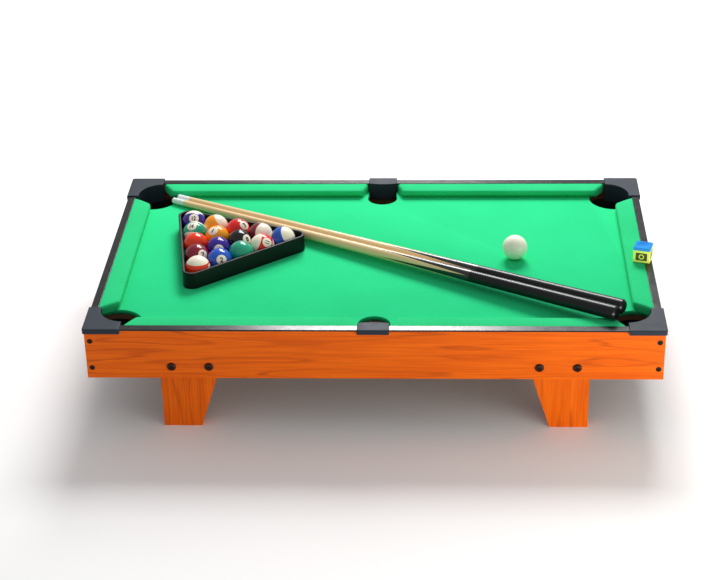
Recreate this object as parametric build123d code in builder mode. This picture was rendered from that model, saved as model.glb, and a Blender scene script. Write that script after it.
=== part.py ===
from build123d import *
import os
from math import asin, cos, radians, sin, sqrt

# Mini tabletop pool table with its rack, balls, cues and chalk. Millimetres.
# The origin is the centre of the footprint on the floor: +X runs along the table to the right
# as seen from the front, +Y to the back, +Z up.

os.makedirs("parts", exist_ok=True)

# ---- driving dimensions of the table -------------------------------------------------------
TABLE_LENGTH = 510.0
TABLE_WIDTH = 312.0
TABLE_HEIGHT = 105.0
CAP_OVERHANG_X = 1.5
CAP_OVERHANG_Y = 2.0
LONG_PANEL = 8.5
END_PANEL = 7.0
APRON_BOTTOM = 55.0
APRON_TOP = 102.5
TRIM = 1.3

BED_TOP = 95.5
CLOTH = 0.5
BOARD = 9.0
GROOVE = 2.0

CUSHION_WIDTH = 17.0
CUSHION_TOP = 103.6
CUSHION_BASE_WIDTH = 14.5
CUSHION_UNDERCUT = 3.0
NOSE_ROUND = 1.4

LEG_THICKNESS = 9.0
LEG_OUTER_X = 190.0
LEG_INNER_AT_APRON = 138.5
LEG_INNER_AT_FLOOR = 156.0
LEG_TOP = 80.0
LEG_BOLT_X = (145.3, 178.4)
LEG_BOLT_Z = 66.5

# ---- pockets -------------------------------------------------------------------------------
CAP_START_X = 222.0
CAP_START_Y = 114.5
CAP_LIP = 4.7
THROAT_X = 221.0
THROAT_Y = 118.2
THROAT_R = 22.5
SKIRT = 1.5
NOTCH_X = 230.0
NOTCH_Y = 127.0
NOTCH_R = 24.5

SIDE_CAP_HALF = 14.0
SIDE_CAP_FROM_Y = 140.5
SIDE_CAP_INNER_Y = 141.0
SIDE_CAP_BOW_R = 50.0
SIDE_SKIRT_BOTTOM = 88.5
SIDE_HOLE_Y = 128.5
SIDE_HOLE_R = 15.0

CUP_WALL = 1.8
CUP_FLOOR = 56.5
CUP_FLANGE = 7.0
CUP_TO_WOOD = 0.2

# ---- loose pieces --------------------------------------------------------------------------
REST_GAP = 0.2
BALL_D = 23.4
BALL_PITCH = 23.8
RACK_CENTRE = (-145.2, 6.6)
RACK_TURN = 8.8
RACK_WALL = 2.6
RACK_HEIGHT = 16.0
RACK_CLEARANCE = 0.35
RACK_COLUMNS = ((13, 7, 5, 14, 12), (2, 4, 1, 9), (6, 8, 3), (11, 15), (10,))
CUE_BALL_AT = (127.8, -2.6)

CUE_LENGTH = 492.0
CUE_TIP_D = 6.0
CUE_BUTT_D = 13.2
CUE_TIP_CAP = 15.0
CUE_SPLICE = 345.0
CUE_PLACES = {
    "front": ((-209.5, 117.4), (212.6, -135.6)),
    "rear": ((-205.0, 124.6), (219.9, -124.0)),
}

CHALK_SIDE = 15.5
CHALK_HEIGHT = 14.5
CHALK_AT = (245.2, -19.3)
CHALK_TURN = -15.7
CHALK_DISH_DEPTH = 1.6

# ---- sizes worked out from them ------------------------------------------------------------
APRON_X = TABLE_LENGTH / 2 - CAP_OVERHANG_X
APRON_Y = TABLE_WIDTH / 2 - CAP_OVERHANG_Y
INNER_X = APRON_X - END_PANEL
INNER_Y = APRON_Y - LONG_PANEL
BOARD_TOP = BED_TOP - CLOTH
BOARD_BOTTOM = BOARD_TOP - BOARD
APRON_HEIGHT = APRON_TOP - APRON_BOTTOM
APRON_MID_Z = (APRON_TOP + APRON_BOTTOM) / 2
TRIM_TOP = APRON_TOP + TRIM
LIP_BOTTOM = TABLE_HEIGHT - CAP_LIP
OVERCUT = 1.0
CORNERS = {
    "front_left": (-1, -1),
    "front_right": (1, -1),
    "back_left": (-1, 1),
    "back_right": (1, 1),
}


def save(piece, name):
    """Label a finished piece and write its STEP file."""
    piece.part.label = name
    export_step(piece.part, f"parts/{name}.step")


# ---- aprons: foil-covered fibreboard, long ones lap over the ends of the short ones ---------
CORNER_SCREW_X = 248.9
CORNER_SCREW_Z = (65.3, 92.0)
SCREW_R = 1.25
SCREW_HEAD_R = 2.6
SCREW_CLEARANCE_R = 1.35
SCREW_LENGTH = 24.0
BOLT_R = 1.95
BOLT_HOLE_R = 2.1

for side, sy in (("front", -1), ("back", 1)):
    face = Plane(origin=(0, sy * APRON_Y, 0), x_dir=(1, 0, 0), z_dir=(0, sy, 0))
    with BuildPart() as long_apron:
        with Locations((0, sy * (APRON_Y - LONG_PANEL / 2), APRON_MID_Z)):
            Box(2 * APRON_X, LONG_PANEL, APRON_HEIGHT)
        with Locations((0, sy * (INNER_Y + GROOVE / 2), (BOARD_TOP + BOARD_BOTTOM) / 2)):
            Box(2 * (INNER_X + GROOVE), GROOVE, BOARD, mode=Mode.SUBTRACT)
        with Locations(face):
            flip = -sy
            with Locations([(sx * CORNER_SCREW_X, flip * z) for sx in (-1, 1) for z in CORNER_SCREW_Z]):
                CounterSinkHole(SCREW_CLEARANCE_R, SCREW_HEAD_R, depth=LONG_PANEL, counter_sink_angle=90)
            with Locations([(sx * x, flip * LEG_BOLT_Z) for sx in (-1, 1) for x in LEG_BOLT_X]):
                Hole(BOLT_HOLE_R, depth=LONG_PANEL)
    save(long_apron, f"{side}_apron")

for side, sx in (("left", -1), ("right", 1)):
    with BuildPart() as end_apron:
        with Locations((sx * (APRON_X - END_PANEL / 2), 0, APRON_MID_Z)):
            Box(END_PANEL, 2 * INNER_Y, APRON_HEIGHT)
        with Locations((sx * (INNER_X + GROOVE / 2), 0, (BOARD_TOP + BOARD_BOTTOM) / 2)):
            Box(GROOVE, 2 * INNER_Y, BOARD, mode=Mode.SUBTRACT)
        pilots = [(sx * CORNER_SCREW_X, sy * INNER_Y, z) for sy in (-1, 1) for z in CORNER_SCREW_Z]
        with Locations([Location(p, (90, 0, 0)) for p in pilots]):
            Cylinder(SCREW_CLEARANCE_R, 2 * (SCREW_LENGTH - LONG_PANEL + OVERCUT), mode=Mode.SUBTRACT)
    save(end_apron, f"{side}_apron")

# ---- bed: fibreboard plate in the aprons' grooves, with cloth glued over it -----------------
POCKET_CUT = BOARD + CLOTH + 2 * OVERCUT
NOTCH_REACH = 30.0
SIDE_SLOT_HALF = SIDE_CAP_HALF + CUP_TO_WOOD
CORNER_CUP_SCREWS = ((199.0, 122.0), (225.0, 96.5))
SIDE_CUP_SCREW = (28.0, 126.0)
CUP_SCREW_BITE = 6.0


def pocket_plan():
    """Draw the four corner notches, and two side holes with a slot for the cap's skirt."""
    with Locations([(sx * NOTCH_X, sy * NOTCH_Y) for sx, sy in CORNERS.values()]):
        Circle(NOTCH_R)
    square = NOTCH_REACH / 2
    with Locations([(sx * (NOTCH_X + square), sy * (NOTCH_Y + square)) for sx, sy in CORNERS.values()]):
        Rectangle(NOTCH_REACH, NOTCH_REACH)
    with Locations([(0, -SIDE_HOLE_Y), (0, SIDE_HOLE_Y)]):
        Circle(SIDE_HOLE_R)
    slot_depth = INNER_Y + GROOVE + OVERCUT - SIDE_HOLE_Y
    with Locations([(0, sy * (SIDE_HOLE_Y + slot_depth / 2)) for sy in (-1, 1)]):
        Rectangle(2 * SIDE_SLOT_HALF, slot_depth)


def corner_cup_screws(sx, sy):
    """Plan places of one corner cup's two screws."""
    return [(sx * x, sy * y) for x, y in CORNER_CUP_SCREWS]


def side_cup_screws(sy):
    """Plan places of one side cup's two screws."""
    x, y = SIDE_CUP_SCREW
    return [(-x, sy * y), (x, sy * y)]


cup_screw_places = []
for sx, sy in CORNERS.values():
    cup_screw_places += corner_cup_screws(sx, sy)
for sy in (-1, 1):
    cup_screw_places += side_cup_screws(sy)

with BuildPart() as bed_board:
    with Locations((0, 0, BOARD_BOTTOM + BOARD / 2)):
        Box(2 * (INNER_X + GROOVE), 2 * (INNER_Y + GROOVE), BOARD)
    with BuildSketch(Plane.XY.offset(BOARD_BOTTOM - OVERCUT)):
        pocket_plan()
    extrude(amount=POCKET_CUT, mode=Mode.SUBTRACT)
    with BuildSketch(Plane.XY.offset(BOARD_BOTTOM)):
        with Locations(cup_screw_places):
            Circle(SCREW_CLEARANCE_R)
    extrude(amount=CUP_SCREW_BITE + OVERCUT, mode=Mode.SUBTRACT)
save(bed_board, "bed_board")

with BuildPart() as bed_cloth:
    with Locations((0, 0, BOARD_TOP + CLOTH / 2)):
        Box(2 * INNER_X, 2 * INNER_Y, CLOTH)
    with BuildSketch(Plane.XY.offset(BOARD_BOTTOM - OVERCUT)):
        pocket_plan()
    extrude(amount=POCKET_CUT, mode=Mode.SUBTRACT)
save(bed_cloth, "bed_cloth")

# ---- cushions: foam strips in cloth, mitred at the pockets ----------------------------------
LONG_CUSHION_END = 221.6
LONG_CUSHION_MITRE = 10.6
SIDE_POCKET_END = 14.6
SIDE_POCKET_MITRE = 5.4
END_CUSHION_END = 114.2
END_CUSHION_MITRE = 12.5


def cushion_outline(back, outward):
    """Corners of a cushion's section, its back at the apron and its nose over the bed."""
    nose = back - outward * CUSHION_WIDTH
    foot = back - outward * CUSHION_BASE_WIDTH
    return [
        (nose, CUSHION_TOP),
        (back, CUSHION_TOP),
        (back, BED_TOP),
        (foot, BED_TOP),
        (nose, BED_TOP + CUSHION_UNDERCUT),
    ]


for rail, sy in (("front", -1), ("back", 1)):
    for side, sx in (("left", -1), ("right", 1)):
        nose_y = sy * (INNER_Y - CUSHION_WIDTH)
        with BuildPart() as long_cushion:
            with BuildSketch(Plane.YZ.offset(sx * SIDE_POCKET_END)) as section:
                Polygon(*cushion_outline(sy * INNER_Y, sy), align=None)
                fillet(section.vertices().sort_by_distance((nose_y, CUSHION_TOP, 0))[0], NOSE_ROUND)
            extrude(amount=sx * (LONG_CUSHION_END - SIDE_POCKET_END))
            with BuildSketch(Plane.XY.offset(BOARD_BOTTOM)):
                Polygon(
                    (sx * SIDE_POCKET_END, sy * INNER_Y),
                    (sx * LONG_CUSHION_END, sy * INNER_Y),
                    (sx * (LONG_CUSHION_END - LONG_CUSHION_MITRE), nose_y),
                    (sx * (SIDE_POCKET_END + SIDE_POCKET_MITRE), nose_y),
                    align=None,
                )
            extrude(amount=CUSHION_TOP - BOARD_BOTTOM + OVERCUT, mode=Mode.INTERSECT)
        save(long_cushion, f"{rail}_{side}_cushion")

for side, sx in (("left", -1), ("right", 1)):
    nose_x = sx * (INNER_X - CUSHION_WIDTH)
    with BuildPart() as end_cushion:
        with BuildSketch(Plane.XZ.offset(-END_CUSHION_END)) as section:
            Polygon(*cushion_outline(sx * INNER_X, sx), align=None)
            fillet(section.vertices().sort_by_distance((nose_x, CUSHION_TOP, 0))[0], NOSE_ROUND)
        extrude(amount=2 * END_CUSHION_END)
        with BuildSketch(Plane.XY.offset(BOARD_BOTTOM)):
            Polygon(
                (sx * INNER_X, -END_CUSHION_END),
                (sx * INNER_X, END_CUSHION_END),
                (nose_x, END_CUSHION_END - END_CUSHION_MITRE),
                (nose_x, -END_CUSHION_END + END_CUSHION_MITRE),
                align=None,
            )
        extrude(amount=CUSHION_TOP - BOARD_BOTTOM + OVERCUT, mode=Mode.INTERSECT)
    save(end_cushion, f"{side}_cushion")

# ---- rail trims: black plastic strips on the apron tops -------------------------------------
TRIM_ROUND = 0.5

for side, sy in (("front", -1), ("back", 1)):
    with BuildPart() as long_trim:
        with Locations((0, sy * (APRON_Y - LONG_PANEL / 2), APRON_TOP + TRIM / 2)):
            Box(2 * CAP_START_X, LONG_PANEL, TRIM)
        fillet(long_trim.edges().filter_by(Axis.X).group_by(Axis.Z)[-1], TRIM_ROUND)
    save(long_trim, f"{side}_trim")

for side, sx in (("left", -1), ("right", 1)):
    with BuildPart() as end_trim:
        with Locations((sx * (APRON_X - END_PANEL / 2), 0, APRON_TOP + TRIM / 2)):
            Box(END_PANEL, 2 * CAP_START_Y, TRIM)
        fillet(end_trim.edges().filter_by(Axis.Y).group_by(Axis.Z)[-1], TRIM_ROUND)
    save(end_trim, f"{side}_trim")

# ---- pocket caps: moulded plastic, a plate with an outer lip and a curved inner skirt -------
CAP_CORNER_R = 2.5
CAP_EDGE_R = 0.9
CAP_CLEARANCE = 0.2
HALF_LENGTH = TABLE_LENGTH / 2
HALF_WIDTH = TABLE_WIDTH / 2


def corner_plan(sx, sy, low_x, low_y, high_x, high_y, mode=Mode.ADD):
    """A rectangle in one corner of the plan, given by its unsigned limits."""
    with Locations((sx * (low_x + high_x) / 2, sy * (low_y + high_y) / 2)):
        Rectangle(high_x - low_x, high_y - low_y, mode=mode)


def throat_plan(sx, sy, radius, mode):
    """The quarter-round pocket mouth: a circle and the straight run below it."""
    with Locations((sx * THROAT_X, sy * THROAT_Y)):
        Circle(radius, mode=mode)
    run = THROAT_Y - CAP_START_Y + OVERCUT
    with Locations((sx * THROAT_X, sy * (THROAT_Y - run / 2))):
        Rectangle(2 * radius, run, mode=mode)


for corner, (sx, sy) in CORNERS.items():
    with BuildPart() as corner_cap:
        with BuildSketch(Plane.XY.offset(APRON_TOP)):
            corner_plan(sx, sy, CAP_START_X, CAP_START_Y, HALF_LENGTH, HALF_WIDTH)
            throat_plan(sx, sy, THROAT_R, Mode.SUBTRACT)
        extrude(amount=TABLE_HEIGHT - APRON_TOP)
        with BuildSketch(Plane.XY.offset(LIP_BOTTOM)):
            corner_plan(sx, sy, CAP_START_X, CAP_START_Y, HALF_LENGTH, HALF_WIDTH)
            with Locations((sx * (APRON_X + CAP_CLEARANCE) / 2, sy * (APRON_Y + CAP_CLEARANCE) / 2)):
                Rectangle(APRON_X + CAP_CLEARANCE, APRON_Y + CAP_CLEARANCE, mode=Mode.SUBTRACT)
        extrude(amount=APRON_TOP - LIP_BOTTOM)
        with BuildSketch(Plane.XY.offset(BOARD_BOTTOM)):
            throat_plan(sx, sy, THROAT_R + SKIRT, Mode.ADD)
            throat_plan(sx, sy, THROAT_R, Mode.SUBTRACT)
            corner_plan(sx, sy, CAP_START_X, CAP_START_Y, INNER_X, INNER_Y, Mode.INTERSECT)
        extrude(amount=APRON_TOP - BOARD_BOTTOM)
        tip = (sx * HALF_LENGTH, sy * HALF_WIDTH, (TABLE_HEIGHT + LIP_BOTTOM) / 2)
        fillet(corner_cap.edges().filter_by(Axis.Z).sort_by_distance(tip)[0], CAP_CORNER_R)
        top_edges = corner_cap.faces().sort_by(Axis.Z)[-1].edges()
        fillet(top_edges, CAP_EDGE_R)
    save(corner_cap, f"{corner}_cap")

for side, sy in (("front", -1), ("back", 1)):
    bow_centre = sy * (SIDE_CAP_INNER_Y + SIDE_CAP_BOW_R)
    with BuildPart() as side_cap:
        with BuildSketch(Plane.XY.offset(TRIM_TOP)):
            with Locations((0, sy * (HALF_WIDTH + SIDE_CAP_FROM_Y) / 2)):
                Rectangle(2 * SIDE_CAP_HALF, HALF_WIDTH - SIDE_CAP_FROM_Y)
            with Locations((0, bow_centre)):
                Circle(SIDE_CAP_BOW_R, mode=Mode.INTERSECT)
        extrude(amount=TABLE_HEIGHT - TRIM_TOP)
        with BuildSketch(Plane.XY.offset(LIP_BOTTOM)):
            with Locations((0, sy * (HALF_WIDTH + APRON_Y + CAP_CLEARANCE) / 2)):
                Rectangle(2 * SIDE_CAP_HALF, HALF_WIDTH - APRON_Y - CAP_CLEARANCE)
        extrude(amount=TRIM_TOP - LIP_BOTTOM)
        with BuildSketch(Plane.XY.offset(SIDE_SKIRT_BOTTOM)):
            with Locations((0, bow_centre)):
                Circle(SIDE_CAP_BOW_R)
                Circle(SIDE_CAP_BOW_R - SKIRT, mode=Mode.SUBTRACT)
            with Locations((0, sy * INNER_Y)):
                Rectangle(2 * SIDE_CAP_HALF, 2 * (INNER_Y - SIDE_CAP_FROM_Y), mode=Mode.INTERSECT)
        extrude(amount=TRIM_TOP - SIDE_SKIRT_BOTTOM)
        outer_edges = side_cap.edges().filter_by(Axis.Z).group_by(Axis.Y)
        fillet(outer_edges[-1 if sy > 0 else 0], CAP_EDGE_R)
        fillet(side_cap.faces().sort_by(Axis.Z)[-1].edges(), CAP_EDGE_R / 2)
    save(side_cap, f"{side}_side_cap")

# ---- pocket cups: thin plastic boxes screwed under the bed to catch the balls; the side ones
# ---- are cut low where the apron closes them ------------------------------------------------
CUP_LOW_X = 203.0
CUP_LOW_Y = 100.0
SIDE_CUP_HALF = 23.0
SIDE_CUP_LOW_Y = 107.0
SIDE_CUP_FLANGE = 8.0
SIDE_CUP_SILL = 72.0
CUP_CORNER_R = 8.0
CUP_FLOOR_R = 3.0


def cup(sx_sy, low_x, low_y, high_x, high_y, flange_x, flange_y, screws):
    """One open-topped cup between unsigned plan limits, with a flange and its screw holes."""
    sx, sy = sx_sy
    with BuildPart() as piece:
        with BuildSketch(Plane.XY.offset(CUP_FLOOR)):
            corner_plan(sx, sy, low_x, low_y, high_x, high_y)
        extrude(amount=BOARD_BOTTOM - CUP_FLOOR)
        fillet(piece.edges().filter_by(Axis.Z), CUP_CORNER_R)
        fillet(piece.faces().sort_by(Axis.Z)[0].edges(), CUP_FLOOR_R)
        offset(amount=-CUP_WALL, openings=piece.faces().sort_by(Axis.Z)[-1])
        with BuildSketch(Plane.XY.offset(BOARD_BOTTOM - CUP_WALL)):
            corner_plan(sx, sy, flange_x[0], flange_y, flange_x[1], high_y)
            inner_low = (low_x + CUP_WALL, low_y + CUP_WALL)
            inner_high = (high_x - CUP_WALL, high_y - CUP_WALL)
            with BuildSketch(mode=Mode.SUBTRACT) as mouth:
                corner_plan(sx, sy, *inner_low, *inner_high)
                fillet(mouth.vertices(), CUP_CORNER_R - CUP_WALL)
            with Locations(screws):
                Circle(SCREW_CLEARANCE_R, mode=Mode.SUBTRACT)
        extrude(amount=CUP_WALL)
    return piece


for corner, (sx, sy) in CORNERS.items():
    corner_cup = cup(
        (sx, sy),
        CUP_LOW_X,
        CUP_LOW_Y,
        INNER_X - CUP_TO_WOOD,
        INNER_Y - CUP_TO_WOOD,
        (CUP_LOW_X - CUP_FLANGE, INNER_X - CUP_TO_WOOD),
        CUP_LOW_Y - CUP_FLANGE,
        corner_cup_screws(sx, sy),
    )
    save(corner_cup, f"{corner}_cup")

for side, sy in (("front", -1), ("back", 1)):
    side_cup = cup(
        (1, sy),
        -SIDE_CUP_HALF,
        SIDE_CUP_LOW_Y,
        SIDE_CUP_HALF,
        INNER_Y - CUP_TO_WOOD,
        (-SIDE_CUP_HALF - SIDE_CUP_FLANGE, SIDE_CUP_HALF + SIDE_CUP_FLANGE),
        SIDE_CUP_LOW_Y - CUP_FLANGE,
        side_cup_screws(sy),
    )
    sill_cut = BOARD_BOTTOM - SIDE_CUP_SILL
    with side_cup:
        with Locations((0, sy * INNER_Y, SIDE_CUP_SILL + sill_cut / 2)):
            Box(2 * (SIDE_CUP_HALF - CUP_CORNER_R), 2 * (CUP_WALL + CUP_TO_WOOD), sill_cut, mode=Mode.SUBTRACT)
    save(side_cup, f"{side}_side_cup")

# ---- legs: four flat panels behind the long aprons ------------------------------------------
leg_slope = (LEG_INNER_AT_FLOOR - LEG_INNER_AT_APRON) / APRON_BOTTOM
leg_inner_at_top = LEG_INNER_AT_FLOOR - leg_slope * LEG_TOP

for corner, (sx, sy) in CORNERS.items():
    back_face = Plane(origin=(0, sy * INNER_Y, 0), x_dir=(1, 0, 0), z_dir=(0, -1, 0))
    with BuildPart() as leg:
        with BuildSketch(back_face):
            Polygon(
                (sx * LEG_INNER_AT_FLOOR, 0),
                (sx * LEG_OUTER_X, 0),
                (sx * LEG_OUTER_X, LEG_TOP),
                (sx * leg_inner_at_top, LEG_TOP),
                align=None,
            )
            with Locations([(sx * x, LEG_BOLT_Z) for x in LEG_BOLT_X]):
                Circle(BOLT_HOLE_R, mode=Mode.SUBTRACT)
        extrude(amount=sy * LEG_THICKNESS)
    save(leg, f"{corner}_leg")

# ---- fasteners: each kind is one node of separate solids ------------------------------------
BOLT_HEAD_R = 4.0
BOLT_HEAD = 1.7
NUT_ACROSS_CORNERS_R = 4.04
NUT = 3.2
NUT_BORE_R = 2.0
BOLT_END = 1.2
HEAD_ROUND = 0.9
CUP_SCREW_HEAD_R = 2.5
CUP_SCREW_HEAD = 1.5

with BuildPart() as apron_screws:
    for sx, sy in CORNERS.values():
        for z in CORNER_SCREW_Z:
            seat = Plane(origin=(sx * CORNER_SCREW_X, sy * APRON_Y, z), z_dir=(0, sy, 0))
            cone = SCREW_HEAD_R - SCREW_R
            with BuildSketch(seat):
                Circle(SCREW_R)
            extrude(amount=-SCREW_LENGTH)
            with BuildSketch(seat.offset(-cone)):
                Circle(SCREW_R)
            with BuildSketch(seat):
                Circle(SCREW_HEAD_R)
            loft()
save(apron_screws, "apron_screws")

with BuildPart() as leg_bolts:
    for sx, sy in CORNERS.values():
        for x in LEG_BOLT_X:
            seat = Plane(origin=(sx * x, sy * APRON_Y, LEG_BOLT_Z), z_dir=(0, sy, 0))
            with BuildSketch(seat):
                Circle(BOLT_R)
            extrude(amount=-(LONG_PANEL + LEG_THICKNESS + NUT + BOLT_END))
            with BuildSketch(seat):
                Circle(BOLT_HEAD_R)
            extrude(amount=BOLT_HEAD)
    rims = leg_bolts.edges().filter_by(GeomType.CIRCLE).group_by(Axis.Y)
    fillet(rims[0] + rims[-1], HEAD_ROUND)
save(leg_bolts, "leg_bolts")

with BuildPart() as leg_nuts:
    for sx, sy in CORNERS.values():
        for x in LEG_BOLT_X:
            inner_face = sy * (INNER_Y - LEG_THICKNESS)
            seat = Plane(origin=(sx * x, inner_face, LEG_BOLT_Z), z_dir=(0, -sy, 0))
            with BuildSketch(seat):
                RegularPolygon(NUT_ACROSS_CORNERS_R, 6)
                Circle(NUT_BORE_R, mode=Mode.SUBTRACT)
            extrude(amount=NUT)
save(leg_nuts, "leg_nuts")

with BuildPart() as cup_screws:
    with BuildSketch(Plane.XY.offset(BOARD_BOTTOM - CUP_WALL)):
        with Locations(cup_screw_places):
            Circle(SCREW_R)
    extrude(amount=CUP_WALL + CUP_SCREW_BITE)
    with BuildSketch(Plane.XY.offset(BOARD_BOTTOM - CUP_WALL - CUP_SCREW_HEAD)):
        with Locations(cup_screw_places):
            Circle(CUP_SCREW_HEAD_R)
    extrude(amount=CUP_SCREW_HEAD)
save(cup_screws, "cup_screws")

# ---- rack: a moulded triangle round fifteen balls, its point turned to the right ------------
ball_row_inradius = 4 * BALL_PITCH / (2 * sqrt(3))
rack_inner_inradius = ball_row_inradius + BALL_D / 2 + RACK_CLEARANCE
rack_outer_inradius = rack_inner_inradius + RACK_WALL
RACK_OUTER_ROUND = 9.0
RACK_RIM_ROUND = 0.8
rack_x_dir = (cos(radians(RACK_TURN)), sin(radians(RACK_TURN)), 0)
rack_plane = Plane(
    origin=(*RACK_CENTRE, BED_TOP + REST_GAP),
    x_dir=rack_x_dir,
    z_dir=(0, 0, 1),
)

with BuildPart() as rack:
    with BuildSketch(rack_plane) as rack_plan:
        RegularPolygon(2 * rack_outer_inradius, 3)
        fillet(rack_plan.vertices(), RACK_OUTER_ROUND)
        with BuildSketch(mode=Mode.SUBTRACT) as rack_inside:
            RegularPolygon(2 * rack_inner_inradius, 3)
            fillet(rack_inside.vertices(), RACK_OUTER_ROUND - RACK_WALL)
    extrude(amount=RACK_HEIGHT)
    fillet(rack.faces().sort_by(Axis.Z)[-1].edges(), RACK_RIM_ROUND)
save(rack, "rack")

# ---- balls: fifteen racked in columns, and the cue ball on the open bed ---------------------
BALL_Z = BED_TOP + REST_GAP + BALL_D / 2
column_step = BALL_PITCH * sqrt(3) / 2
turn = radians(RACK_TURN)

for column, numbers in enumerate(RACK_COLUMNS):
    along = (column - 4 / 3) * column_step
    for row, number in enumerate(numbers):
        across = (row - (len(numbers) - 1) / 2) * BALL_PITCH
        ball_x = RACK_CENTRE[0] + along * cos(turn) - across * sin(turn)
        ball_y = RACK_CENTRE[1] + along * sin(turn) + across * cos(turn)
        with BuildPart() as ball:
            with Locations((ball_x, ball_y, BALL_Z)):
                Sphere(BALL_D / 2)
        save(ball, f"ball_{number}")

with BuildPart() as cue_ball:
    with Locations((*CUE_BALL_AT, BALL_Z)):
        Sphere(BALL_D / 2)
save(cue_ball, "cue_ball")

# ---- cues: tapered wooden shafts, tips on the bed and butts on the front cushion ------------
CUE_TIP_DOME = 1.2
CUE_BUTT_ROUND = 1.5
CUE_BUTT_RAISE = 0.4
tip_z = BED_TOP + REST_GAP + CUE_TIP_D / 2
butt_z = CUSHION_TOP + REST_GAP + CUE_BUTT_D / 2 + CUE_BUTT_RAISE


def cue_radius(s):
    """Radius of the cue at a distance s from its tip."""
    return (CUE_TIP_D + (CUE_BUTT_D - CUE_TIP_D) * s / CUE_LENGTH) / 2


for cue, (tip_at, butt_at) in CUE_PLACES.items():
    heading = Vector(butt_at[0] - tip_at[0], butt_at[1] - tip_at[1], 0).normalized()
    rise = asin((butt_z - tip_z) / CUE_LENGTH)
    cue_dir = heading * cos(rise) + Vector(0, 0, sin(rise))
    cue_side = Vector(-heading.Y, heading.X, 0)
    cue_plane = Plane(origin=(*tip_at, tip_z), x_dir=cue_dir, z_dir=cue_side)
    cue_axis = Axis(cue_plane.origin, cue_plane.x_dir)

    with BuildPart() as cue_tip:
        with BuildSketch(cue_plane):
            Polygon(
                (0, 0),
                (CUE_TIP_CAP, 0),
                (CUE_TIP_CAP, cue_radius(CUE_TIP_CAP)),
                (CUE_TIP_DOME, cue_radius(CUE_TIP_DOME)),
                (0, cue_radius(0) - CUE_TIP_DOME),
                align=None,
            )
        revolve(axis=cue_axis)
    save(cue_tip, f"{cue}_cue_tip")

    with BuildPart() as cue_shaft:
        with BuildSketch(cue_plane):
            Polygon(
                (CUE_TIP_CAP, 0),
                (CUE_SPLICE, 0),
                (CUE_SPLICE, cue_radius(CUE_SPLICE)),
                (CUE_TIP_CAP, cue_radius(CUE_TIP_CAP)),
                align=None,
            )
        revolve(axis=cue_axis)
    save(cue_shaft, f"{cue}_cue_shaft")

    with BuildPart() as cue_butt:
        with BuildSketch(cue_plane):
            Polygon(
                (CUE_SPLICE, 0),
                (CUE_LENGTH, 0),
                (CUE_LENGTH, cue_radius(CUE_LENGTH) - CUE_BUTT_ROUND),
                (CUE_LENGTH - CUE_BUTT_ROUND, cue_radius(CUE_LENGTH)),
                (CUE_SPLICE, cue_radius(CUE_SPLICE)),
                align=None,
            )
        revolve(axis=cue_axis)
    save(cue_butt, f"{cue}_cue_butt")

# ---- chalk: a small cube with a worn dish in its top, on the right rail ---------------------
CHALK_EDGE = 0.6
CHALK_DISH_RIM = 1.5
chalk_turn = radians(CHALK_TURN)
chalk_plane = Plane(
    origin=(*CHALK_AT, TRIM_TOP + REST_GAP),
    x_dir=(cos(chalk_turn), sin(chalk_turn), 0),
    z_dir=(0, 0, 1),
)
dish_half = CHALK_SIDE / 2 - CHALK_DISH_RIM
dish_r = (dish_half**2 + CHALK_DISH_DEPTH**2) / (2 * CHALK_DISH_DEPTH)

with BuildPart() as chalk:
    with BuildSketch(chalk_plane):
        Rectangle(CHALK_SIDE, CHALK_SIDE)
    extrude(amount=CHALK_HEIGHT)
    chamfer(chalk.edges(), CHALK_EDGE)
    with Locations(chalk_plane.offset(CHALK_HEIGHT - CHALK_DISH_DEPTH + dish_r)):
        Sphere(dish_r, mode=Mode.SUBTRACT)
save(chalk, "chalk")
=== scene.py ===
from math import atan2, cos, pi, radians, sin, sqrt

import bmesh
import bpy
from mathutils import Matrix, Vector


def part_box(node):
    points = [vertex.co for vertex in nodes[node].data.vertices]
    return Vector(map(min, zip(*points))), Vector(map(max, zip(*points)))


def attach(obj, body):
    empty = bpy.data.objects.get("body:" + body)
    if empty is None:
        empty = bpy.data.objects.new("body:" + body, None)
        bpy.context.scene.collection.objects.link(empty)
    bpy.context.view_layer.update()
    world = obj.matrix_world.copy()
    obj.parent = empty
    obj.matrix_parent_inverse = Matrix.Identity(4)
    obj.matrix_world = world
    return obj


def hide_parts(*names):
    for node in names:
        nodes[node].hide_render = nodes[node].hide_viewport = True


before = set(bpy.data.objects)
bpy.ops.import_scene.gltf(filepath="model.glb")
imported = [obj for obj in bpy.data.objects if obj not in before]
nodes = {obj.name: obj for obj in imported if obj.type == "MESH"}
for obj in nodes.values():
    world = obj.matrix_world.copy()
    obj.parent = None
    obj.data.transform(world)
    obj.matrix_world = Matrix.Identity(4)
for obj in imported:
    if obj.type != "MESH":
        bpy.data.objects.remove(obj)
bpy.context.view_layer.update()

MM = 0.001

# ---- Aprons ---------------------------------------------------------------------------------
# Four fibreboard panels form the box that carries the bed. Their outer faces are wrapped in
# paper foil printed with cherry grain under a satin coat; inner faces and lower edges are raw.
FOIL_LIGHT = "#E86C06"
FOIL_DEEP = "#D05202"
FOIL_LINE = "#AE4406"
BOARD_PALE = "#8C5F40"
BOARD_DARK = "#5C3824"
GRAIN_STREAK = (60.0, 1.2)
GRAIN_FIGURE = (190.0, 15.0)
FIGURE_RINGS = 5.0
LINE_WIDTH = 0.16
FIBRE_SIZE = 0.8


def linear(hex_colour):
    """An sRGB hex colour as the linear RGBA that shaders take."""
    channels = [int(hex_colour[i : i + 2], 16) / 255 for i in (1, 3, 5)]
    return [c / 12.92 if c <= 0.04045 else ((c + 0.055) / 1.055) ** 2.4 for c in channels] + [1.0]


def start_material(name):
    """A material with an empty node tree."""
    material = bpy.data.materials.new(name)
    material.use_nodes = True
    material.node_tree.nodes.clear()
    return material


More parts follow.
